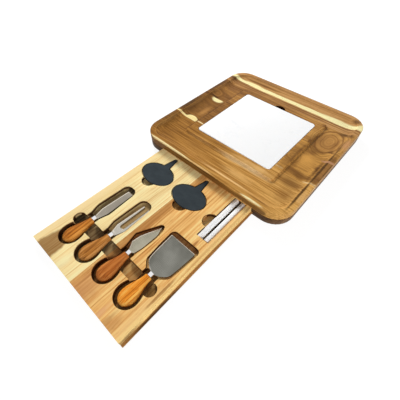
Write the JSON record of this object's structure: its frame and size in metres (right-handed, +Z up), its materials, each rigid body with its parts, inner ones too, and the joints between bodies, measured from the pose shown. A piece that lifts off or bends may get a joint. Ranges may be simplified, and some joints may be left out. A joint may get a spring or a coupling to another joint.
{
  "type": "cheese board",
  "caption": "Square wooden cheese board with an inlaid marble tile and a slide-out drawer that holds small cheese tools, slate labels and chalks.",
  "frame": {"origin": "middle of the footprint with the drawer open, on the table under the board", "axes": "+X along the board's front, to the right; +Y to the back, away from the drawer's front; +Z up"},
  "size_m": [0.33, 0.596, 0.03],
  "materials": {
    "acacia": "oiled hardwood, satin",
    "pale_acacia": "oiled hardwood with pale sapwood, satin",
    "grip_wood": "oiled hardwood, satin",
    "marble": "polished white marble",
    "steel": "satin stainless steel",
    "chrome": "bright chrome",
    "slate": "matte dark slate",
    "chalk": "matte white soapstone chalk"
  },
  "bodies": {
    "board": {"top_stave_1": "acacia", "top_stave_2": "acacia", "top_stave_3": "acacia", "top_stave_4": "acacia", "side_rail_left": "acacia", "side_rail_right": "acacia", "back_rail": "acacia"},
    "drawer": {"drawer_stave_left": "pale_acacia", "drawer_stave_right": "pale_acacia"},
    "tile": {"marble_tile": "marble"},
    "narrow_knife": {"narrow_knife_blade": "steel", "narrow_knife_ferrule": "chrome", "narrow_knife_grip": "grip_wood"},
    "fork": {"fork_blade": "steel", "fork_ferrule": "chrome", "fork_grip": "grip_wood"},
    "spear_knife": {"spear_knife_blade": "steel", "spear_knife_ferrule": "chrome", "spear_knife_grip": "grip_wood"},
    "spade": {"spade_blade": "steel", "spade_ferrule": "chrome", "spade_grip": "grip_wood"},
    "slate_label_1": {"slate_label_1": "slate"},
    "slate_label_2": {"slate_label_2": "slate"},
    "chalk_1": {"chalk_1": "chalk"},
    "chalk_2": {"chalk_2": "chalk"}
  },
  "joints": [
    {"name": "drawer_slide", "type": "slide", "parent": "board", "child": "drawer", "axis": [0, -1, 0], "range_m": [-0.266, 0]},
    {"name": "tile_lift", "type": "slide", "parent": "board", "child": "tile", "axis": [0, 0, 1], "range_m": [0, 0.06]},
    {"name": "narrow_knife_lift", "type": "slide", "parent": "drawer", "child": "narrow_knife", "axis": [0, 0, 1], "range_m": [0, 0.06]},
    {"name": "fork_lift", "type": "slide", "parent": "drawer", "child": "fork", "axis": [0, 0, 1], "range_m": [0, 0.06]},
    {"name": "spear_knife_lift", "type": "slide", "parent": "drawer", "child": "spear_knife", "axis": [0, 0, 1], "range_m": [0, 0.06]},
    {"name": "spade_lift", "type": "slide", "parent": "drawer", "child": "spade", "axis": [0, 0, 1], "range_m": [0, 0.06]},
    {"name": "slate_label_1_lift", "type": "slide", "parent": "drawer", "child": "slate_label_1", "axis": [0, 0, 1], "range_m": [0, 0.06]},
    {"name": "slate_label_2_lift", "type": "slide", "parent": "drawer", "child": "slate_label_2", "axis": [0, 0, 1], "range_m": [0, 0.06]},
    {"name": "chalk_1_lift", "type": "slide", "parent": "drawer", "child": "chalk_1", "axis": [0, 0, 1], "range_m": [0, 0.06]},
    {"name": "chalk_2_lift", "type": "slide", "parent": "drawer", "child": "chalk_2", "axis": [0, 0, 1], "range_m": [0, 0.06]}
  ]
}
